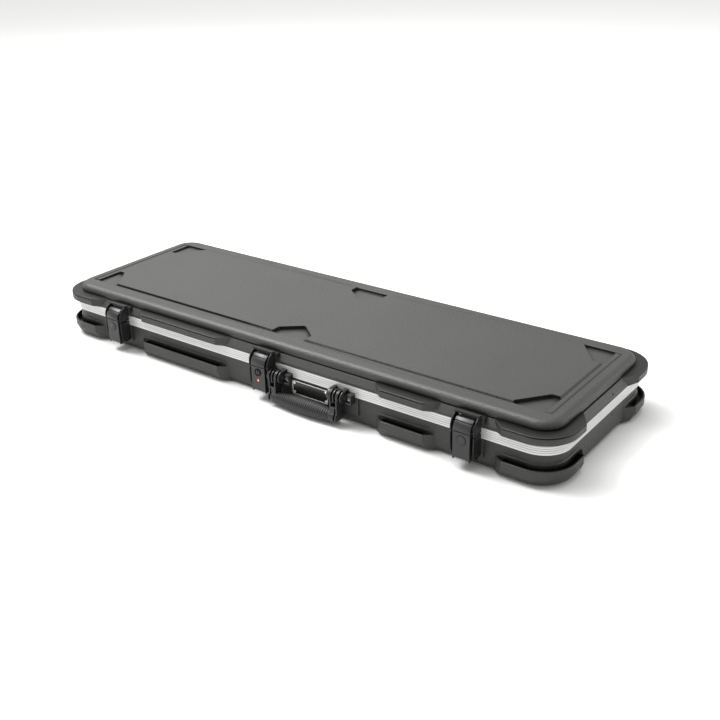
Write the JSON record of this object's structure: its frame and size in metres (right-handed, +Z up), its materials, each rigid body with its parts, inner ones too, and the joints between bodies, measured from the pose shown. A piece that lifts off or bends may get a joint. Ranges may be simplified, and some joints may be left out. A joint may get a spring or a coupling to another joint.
{
  "type": "bass guitar case",
  "caption": "Hard moulded case that carries an electric bass guitar: hinged lid, trigger latches, folding handle, tongue-and-groove metal rim and a padded inside.",
  "frame": {"origin": "middle of the base's underside, on the plane it lies on", "axes": "+X along the length (the bass's body end), -Y the front with latches and handle, +Z up"},
  "size_m": [1.276, 0.4465, 0.12],
  "materials": {
    "shell": "moulded black plastic with a fine grain, satin",
    "valance": "extruded aluminium, fine lengthwise grooves",
    "plush": "black plush over moulded foam",
    "seal": "matt rubber",
    "hardware": "glass-filled black nylon, smooth satin",
    "grip": "soft ribbed black rubber",
    "steel": "plain steel",
    "rivet": "aluminium rivet heads",
    "black_steel": "black painted steel",
    "indicator": "glossy red plastic",
    "plug": "polished zinc"
  },
  "bodies": {
    "base": {"base_shell": "shell", "base_valance": "valance", "base_foam": "plush", "neck_cradle": "plush", "latch_bracket_left": "hardware", "latch_bracket_centre": "hardware", "latch_bracket_right": "hardware", "lever_pins": "steel", "base_latch_rivets": "rivet", "handle_bracket_left": "hardware", "handle_bracket_right": "hardware", "handle_pins": "steel", "handle_screws": "steel", "name_plate": "hardware", "plate_rivets": "rivet", "base_leaf_left": "black_steel", "base_leaf_centre": "black_steel", "base_leaf_right": "black_steel", "hinge_pins": "steel", "base_hinge_rivets": "rivet"},
    "lid": {"lid_shell": "shell", "lid_valance": "valance", "lid_seal": "seal", "lid_foam": "plush", "strike_left": "hardware", "strike_centre": "hardware", "strike_right": "hardware", "catch_pins": "steel", "lid_latch_rivets": "rivet", "lid_leaf_left": "black_steel", "lid_leaf_centre": "black_steel", "lid_leaf_right": "black_steel", "lid_hinge_rivets": "rivet"},
    "lever_left": {"lever_left": "hardware", "trigger_pin_left": "steel", "spring_left": "steel"},
    "trigger_left": {"trigger_left": "hardware"},
    "lever_centre": {"lever_centre": "hardware", "trigger_pin_centre": "steel", "spring_centre": "steel", "lock_indicator": "indicator"},
    "trigger_centre": {"trigger_centre": "hardware"},
    "lever_right": {"lever_right": "hardware", "trigger_pin_right": "steel", "spring_right": "steel"},
    "trigger_right": {"trigger_right": "hardware"},
    "lock_plug": {"lock_plug": "plug"},
    "handle": {"handle_core": "hardware", "handle_grip": "grip"}
  },
  "joints": [
    {"name": "lid_hinge", "type": "hinge", "parent": "base", "child": "lid", "pos_m": [0, 0.2045, 0.0685], "axis": [-1, 0, 0], "range_deg": [0, 100]},
    {"name": "lever_left", "type": "hinge", "parent": "base", "child": "lever_left", "pos_m": [-0.445, -0.21, 0.031], "axis": [1, 0, 0], "range_deg": [0, 90]},
    {"name": "lever_centre", "type": "hinge", "parent": "base", "child": "lever_centre", "pos_m": [-0.0155, -0.21, 0.031], "axis": [1, 0, 0], "range_deg": [0, 90]},
    {"name": "lever_right", "type": "hinge", "parent": "base", "child": "lever_right", "pos_m": [0.456, -0.21, 0.031], "axis": [1, 0, 0], "range_deg": [0, 90]},
    {"name": "trigger_left", "type": "hinge", "parent": "lever_left", "child": "trigger_left", "pos_m": [-0.445, -0.218, 0.074], "axis": [1, 0, 0], "range_deg": [0, 10], "stiffness_Nm_per_rad": 0.12, "springref_deg": -17.19},
    {"name": "trigger_centre", "type": "hinge", "parent": "lever_centre", "child": "trigger_centre", "pos_m": [-0.0155, -0.218, 0.074], "axis": [1, 0, 0], "range_deg": [0, 10], "stiffness_Nm_per_rad": 0.12, "springref_deg": -17.19},
    {"name": "trigger_right", "type": "hinge", "parent": "lever_right", "child": "trigger_right", "pos_m": [0.456, -0.218, 0.074], "axis": [1, 0, 0], "range_deg": [0, 10], "stiffness_Nm_per_rad": 0.12, "springref_deg": -17.19},
    {"name": "lock_turn", "type": "hinge", "parent": "lever_centre", "child": "lock_plug", "pos_m": [-0.0155, -0.225, 0.063], "axis": [0, -1, 0], "range_deg": [0, 90]},
    {"name": "handle_swing", "type": "hinge", "parent": "base", "child": "handle", "pos_m": [0.09735, -0.214, 0.062], "axis": [-1, 0, 0], "range_deg": [-3, 100]}
  ]
}
